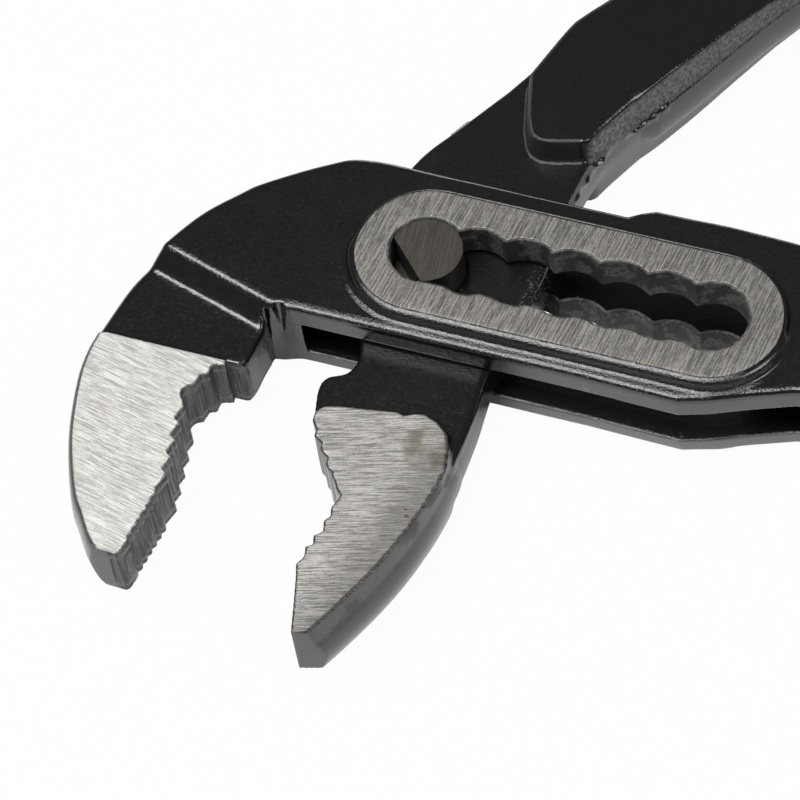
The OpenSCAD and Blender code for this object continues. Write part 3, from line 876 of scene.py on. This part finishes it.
def ground_steel(f, turn, pale, dark):
    """Steel ground by a wheel: colour, roughness and height of its streaks."""
    long_streaks, short_streaks = f.grain(turn, 0.2, 5.0, 2), f.grain(turn + 2, 0.9, 8.0, 2)
    streaks = f.plus(f.times(long_streaks, 0.5), f.times(short_streaks, 0.3), f.times(f.noise(5.2, 2), 0.2))
    pits = f.band(f.noise(3.4, 2), 0.69, 0.75, 0, 0.55)
    colour = f.mix(f.band(streaks, 0.41, 0.59), dark, pale)
    colour = f.mix(pits, colour, STEEL_PIT)
    rough = f.blend(f.band(streaks, 0.35, 0.65), 0.60, 0.48)
    return colour, rough, streaks


def tooth_walls(f, mask, colour, rough):
    """Cut tooth walls: lines of the tool down the wall, and paler scuffs."""
    lines = f.noise(1.0, 3, 0.6, f.node("Mapping", Vector=f.place, Scale=(2.6, 2.6, 0.12)))
    scuffs = f.times(f.band(f.noise(0.7, 4), 0.56, 0.7), f.band(f.noise(2.8, 3), 0.45, 0.6))
    cut = f.mix(scuffs, f.mix(f.band(lines, 0.35, 0.65), TOOL_DARK, TOOL_PALE), SCUFF)
    return f.mix(mask, colour, cut), f.blend(mask, rough, f.band(lines, 0.3, 0.7, 0.3, 0.75))


def make_slotted_finish():
    """Lacquer, with bare steel on the pad and the jaw, cut teeth, flecked rims and a worn slot."""
    f = Finish("black_lacquer_with_ground_pad")
    past = f.less(f.x, f.math("MINIMUM", f.most(f.x, 0.0), SLOT_L))
    off = f.far(past, f.y)
    colour, rough, height = coated(f)
    # Bare steel
    pad = f.above(f.depth, f.band(off, PAD_R - 2, PAD_R - 1, PAD_H - 0.10, PAD_H - 0.012), 0.01)
    pad = f.times(pad, f.dead_level)
    low = f.above(f.depth, f.band(f.x, -30, -28, JAW_H - 0.10, JAW_H - 0.2))
    low = f.times(low, f.band(f.depth, JAW_H + 0.08, JAW_H + 0.05))
    level = f.blend(f.band(f.x, -28.1, -28), f.level, f.nearly_level)
    jaw = f.times(low, f.band(f.y, GROUND_FROM + 0.05, GROUND_FROM - 0.05), level)
    bare = f.most(pad, jaw)
    # The pad's and the jaw's steel tones are painted light, set by how much of the lamps each face catches
    pad_colour, pad_rough, pad_streaks = ground_steel(f, 83, *PAD_STEEL_PAINTED_LIGHT)
    jaw_colour, jaw_rough, jaw_streaks = ground_steel(f, -12, *SLOTTED_JAW_STEEL_PAINTED_LIGHT)
    # Tooth walls
    teeth = f.times(f.band(f.y, -20.4, -20.6), f.band(f.x, -25.9, -25.7), f.wall)
    colour, rough = tooth_walls(f, teeth, colour, rough)
    # Flecks on the pad's shoulder and foot and on the edge above the front
    shoulder = f.times(f.band(off, PAD_R - 0.2, PAD_R + 0.2), f.band(off, PAD_R + 2.2, PAD_R + 1.9))
    brow = f.times(f.band(f.y, -11.0, -11.4), f.band(f.x, -17, -15))
    rims = f.times(f.most(shoulder, brow), f.band(f.y, -6.5, -8.5), f.without(f.wall))
    steep = f.times(f.band(off, PAD_R + 0.65, PAD_R + 0.85), f.band(off, PAD_R + 1.4, PAD_R + 1.2))
    flecks = f.grain(-6, 2.2, 5.0, 3.0)
    dull = f.times(rims, f.without(steep), f.band(flecks, 0.5, 0.6))
    rough = f.blend(dull, rough, DULL)
    # Rubbed edge of the gap, and the slot with its worn rims
    slot = f.times(f.band(off, NOTCH_R + 1.5, NOTCH_R + 1.3), f.without(f.dead_level))
    gap = f.times(f.band(f.depth, GAP_H - 0.35, GAP_H - 0.15), f.band(f.depth, GAP_H + 0.45, GAP_H + 0.25),
                  f.band(f.y, -5, -8))
    rough = f.blend(slot, f.blend(gap, rough, DULL), 0.7)
    worn = f.times(f.band(f.noise(0.42, 3), 0.46, 0.54), f.band(f.noise(2.4, 3), 0.38, 0.48),
                   f.band(f.depth, 2.8, 3.4))
    colour = f.mix(f.times(worn, slot), colour, WORN)
    # All together
    colour = f.mix(jaw, f.mix(pad, colour, pad_colour), jaw_colour)
    rough = f.blend(jaw, f.blend(pad, rough, f.plus(pad_rough, 0.07)), jaw_rough)
    streaks = f.blend(jaw, pad_streaks, jaw_streaks)
    height = f.plus(height, f.times(rims, flecks, 1.4))
    normal = f.bump(f.times(height, f.without(bare)), COAT_BUMP)
    normal = f.bump(f.times(streaks, bare), GROUND_BUMP, GROUND_BUMP_SHARE, normal)
    spread = f.turn(jaw, across(85), across(0))
    return f.surface(Base_Color=colour, Metallic=bare, Roughness=rough, IOR=COAT_IOR, Normal=normal,
                     Anisotropic=f.times(bare, WHEEL), Tangent=spread)


def make_through_finish():
    """Lacquer, with bare steel on the jaw, stained and rusted in places, cut teeth, dust and torn flash."""
    f = Finish("black_lacquer_with_ground_jaw")
    colour, rough, height = coated(f)
    # Bare steel, with painted shade darkening it along its right edge
    level = f.blend(f.band(f.x, 2.1, 2.0), f.level, f.nearly_level)
    start = f.band(f.y, THROUGH_GROUND_FROM + 0.1, THROUGH_GROUND_FROM - 0.1)
    jaw = f.times(f.above(f.depth, JAW_H - 0.16), start, level)
    # The jaw's steel tone is painted shade, darker than the other ground faces for how light falls on it
    jaw_colour, jaw_rough, jaw_streaks = ground_steel(f, 17, *THROUGH_JAW_STEEL_PAINTED_SHADE)
    past_edge = f.less(f.x, f.plus(f.times(f.y, 0.308), 21.0))
    jaw_colour = f.mix(f.band(past_edge, -6.0, 0.5, 0, 0.55), jaw_colour, STEEL_SHADED)
    ring = f.times(f.spot(8.9, -27.0, 2.9, 0.9), f.without(f.spot(9.2, -25.6, 0.9, 0.8)))
    stain = f.times(ring, f.band(f.noise(0.35, 3), 0.25, 0.7))
    jaw_colour = f.mix(f.times(stain, 0.8), jaw_colour, STAIN)
    rust = f.times(f.most(f.spot(9.6, -37.3, 0.15, 0.25), f.spot(9.2, -36.4, 0.08, 0.2)), 0.8)
    jaw_colour = f.mix(rust, jaw_colour, RUST)
    # Dust on the neck, by its right edge and by the pin
    by_edge = f.times(f.band(f.x, 12.7, 13.7), f.band(f.y, -8, -6), f.band(f.y, 5, 4))
    by_pin = f.times(f.spot(3.5, -4.5, 3.6, 1.5), f.band(f.z, 2.9, 3.0))
    dust = f.times(f.most(by_edge, by_pin), f.band(f.noise(2.4, 3), 0.56, 0.66))
    colour = f.mix(f.times(dust, 0.6), colour, DUST)
    rough = f.blend(dust, rough, 0.8)
    # Tooth walls
    teeth = f.times(f.band(f.y, -26.3, -26.5), f.band(f.x, 1.6, 1.4), f.wall)
    colour, rough = tooth_walls(f, teeth, colour, rough)
    rough = f.blend(teeth, rough, 0.22)
    # Mottled side of the jaw, torn flash, and the bank of the platform
    mottled = f.times(f.wall, f.band(f.y, -24, -27), f.band(f.x, 2, 4), f.band(f.z, -1.0, 3.0),
                      f.band(f.noise(0.3, 4), 0.4, 0.6))
    rough = f.blend(mottled, rough, 0.55)
    torn = f.times(f.wall, f.band(f.z, 1.4, 2.4), f.band(f.y, 8, 12), f.band(f.x, 13.6, 14.2),
                   f.band(f.noise(2.0, 4), 0.35, 0.6))
    nose = f.times(f.without(f.dead_level), f.band(f.z, 3.16, 3.2), f.band(f.y, 18, 19),
                   f.band(f.x, 14.2, 13.6))
    rough = f.blend(f.most(torn, nose), rough, MATT)
    # All together
    colour = f.mix(jaw, colour, jaw_colour)
    rough = f.blend(jaw, rough, jaw_rough)
    normal = f.bump(f.times(height, f.without(jaw)), COAT_BUMP)
    normal = f.bump(f.times(jaw_streaks, jaw), GROUND_BUMP, GROUND_BUMP_SHARE, normal)
    spread = across(14)
    return f.surface(Base_Color=colour, Metallic=jaw, Roughness=rough, IOR=COAT_IOR, Normal=normal,
                     Anisotropic=f.times(jaw, WHEEL), Tangent=f.node("CombineXYZ", X=spread[0], Y=spread[1]))


def make_pin_finish():
    """Dark turned steel."""
    f = Finish("turned_steel")
    colour, rough, streaks = ground_steel(f, 95, *PIN_STEEL)
    return f.surface(Base_Color=colour, Metallic=1.0, Roughness=rough, Normal=f.bump(streaks, 0.04, 0.5))


def make_sleeve_finish():
    """Matt black moulding."""
    f = Finish("matt_black_sleeve")
    fine = f.noise(2.2, 3)
    colour = f.mix(f.noise(0.12, 3), SLEEVE_DARK, SLEEVE_PALE)
    return f.surface(Base_Color=colour, Roughness=f.blend(fine, 0.55, 0.75), Normal=f.bump(fine, 0.08, 0.5))


def dress(obj, material):
    """Gives a piece one finish."""
    obj.data.materials.clear()
    obj.data.materials.append(material)


dress(slotted, make_slotted_finish())
dress(through, make_through_finish())
dress(pin, make_pin_finish())
sleeve_finish = make_sleeve_finish()
dress(slotted_sleeve, sleeve_finish)
dress(through_sleeve, sleeve_finish)

# Camera, as the photograph was taken

LENS, SENSOR_W, SIGHT = 198.97, 36, 30
STAND = (0.14597, -0.29485, 0.48633)  # camera's place from the pivot, in metres
VIEW = Vector((-0.2496, 0.4787, -0.8417)).normalized()
UP = Vector((-0.2249, 0.8168, 0.5312))
right = VIEW.cross(UP).normalized()
up = right.cross(VIEW)
camera = bpy.data.objects.new("camera", bpy.data.cameras.new("camera"))
camera.data.lens = LENS
camera.data.sensor_width = SENSOR_W
camera.data.clip_end = SIGHT
stand = PIVOT + np.array(STAND)
camera.matrix_world = Matrix((
    (right.x, up.x, -VIEW.x, stand[0]),
    (right.y, up.y, -VIEW.y, stand[1]),
    (right.z, up.z, -VIEW.z, stand[2]),
    (0, 0, 0, 1)))
bpy.context.scene.collection.objects.link(camera)
bpy.context.scene.camera = camera

# Stage: a white floor that keeps a pale shadow and, in what the tool mirrors, painted shade near the tool, a
# dim sky that is paler at the horizon, and soft lamps

FLOOR_HALF, FLOOR_Z = 9, -0.0002
FLOOR_GREY = (0.88, 0.88, 0.88)
FLOOR_WHITE = 0.97  # share of plain white that the camera sees
# The floor's glow in what the tool mirrors is dimmed by ambient occlusion near the tool: painted shade
SHADE_REACH = 0.02  # how near the tool the floor darkens in what the tool mirrors
SHADE_FROM, SHADE_TO, MIRRORED_WHITE = 0.2, 0.58, 0.94
SKY = [(0.0, 0.18), (0.3, 0.115)]  # height and grey

corners = [(-1, -1), (1, -1), (1, 1), (-1, 1)]
floor_mesh = bpy.data.meshes.new("floor")
floor_mesh.from_pydata([(a * FLOOR_HALF, b * FLOOR_HALF, FLOOR_Z) for a, b in corners], [], [(0, 1, 2, 3)])
floor = bpy.data.objects.new("floor", floor_mesh)
bpy.context.scene.collection.objects.link(floor)
paper = bpy.data.materials.new("white_floor")
paper.use_nodes = True
floor_mesh.materials.append(paper)
wiring = Wiring(paper.node_tree)
path = wiring.tree.nodes.new("ShaderNodeLightPath").outputs
seen = wiring.most(path["Is Camera Ray"], path["Is Glossy Ray"], path["Is Transmission Ray"])
# Painted shade: ambient occlusion darkens the floor's mirrored glow under and beside the tool
mirrored_glow_with_painted_shade = wiring.node("MapRange", Value=wiring.node("AmbientOcclusion", "AO", Distance=SHADE_REACH),
                       From_Min=SHADE_FROM, From_Max=SHADE_TO, To_Min=0.0, To_Max=MIRRORED_WHITE)
white = wiring.times(seen, wiring.blend(path["Is Camera Ray"], mirrored_glow_with_painted_shade, FLOOR_WHITE))
matt = wiring.node("BsdfDiffuse", Color=FLOOR_GREY)
glow = wiring.node("Emission", Strength=1.0)
wiring.end("OutputMaterial", wiring.shaders(white, matt, glow))

world = bpy.data.worlds.new("studio")
bpy.context.scene.world = world
world.use_nodes = True
wiring = Wiring(world.node_tree)
sky = wiring.tree.nodes.new("ShaderNodeValToRGB")
wiring.plug(sky.inputs[0], wiring.parts(wiring.node("TexCoord", "Generated"))[2])
for stop, (place, grey) in zip(sky.color_ramp.elements, SKY):
    stop.position = place
    stop.color = (grey, grey, grey, 1)
wiring.end("OutputWorld", wiring.node("Background", Color=sky.outputs[0]))


def lamp(name, towards, distance, size, power):
    """A soft square lamp in a direction from the tool's head, aimed at it."""
    light = bpy.data.lights.new(name, "AREA")
    light.shape = "SQUARE"
    light.size = size
    light.energy = power
    obj = bpy.data.objects.new(name, light)
    way = Vector(towards).normalized()
    obj.location = Vector((PIVOT[0], PIVOT[1] - 0.02, 0)) + way * distance
    obj.rotation_euler = way.to_track_quat("Z", "Y").to_euler()
    bpy.context.scene.collection.objects.link(obj)


lamp("front_box", towards=(-0.25, -0.11, 0.963), distance=1.2, size=0.76, power=12)
lamp("side_box", towards=(0.66, -0.1, 0.74), distance=1.2, size=0.5, power=2.6)
lamp("back_strip", towards=(-0.25, 0.95, 0.16), distance=1.6, size=0.5, power=2)

bpy.context.scene.view_settings.view_transform = "Standard"
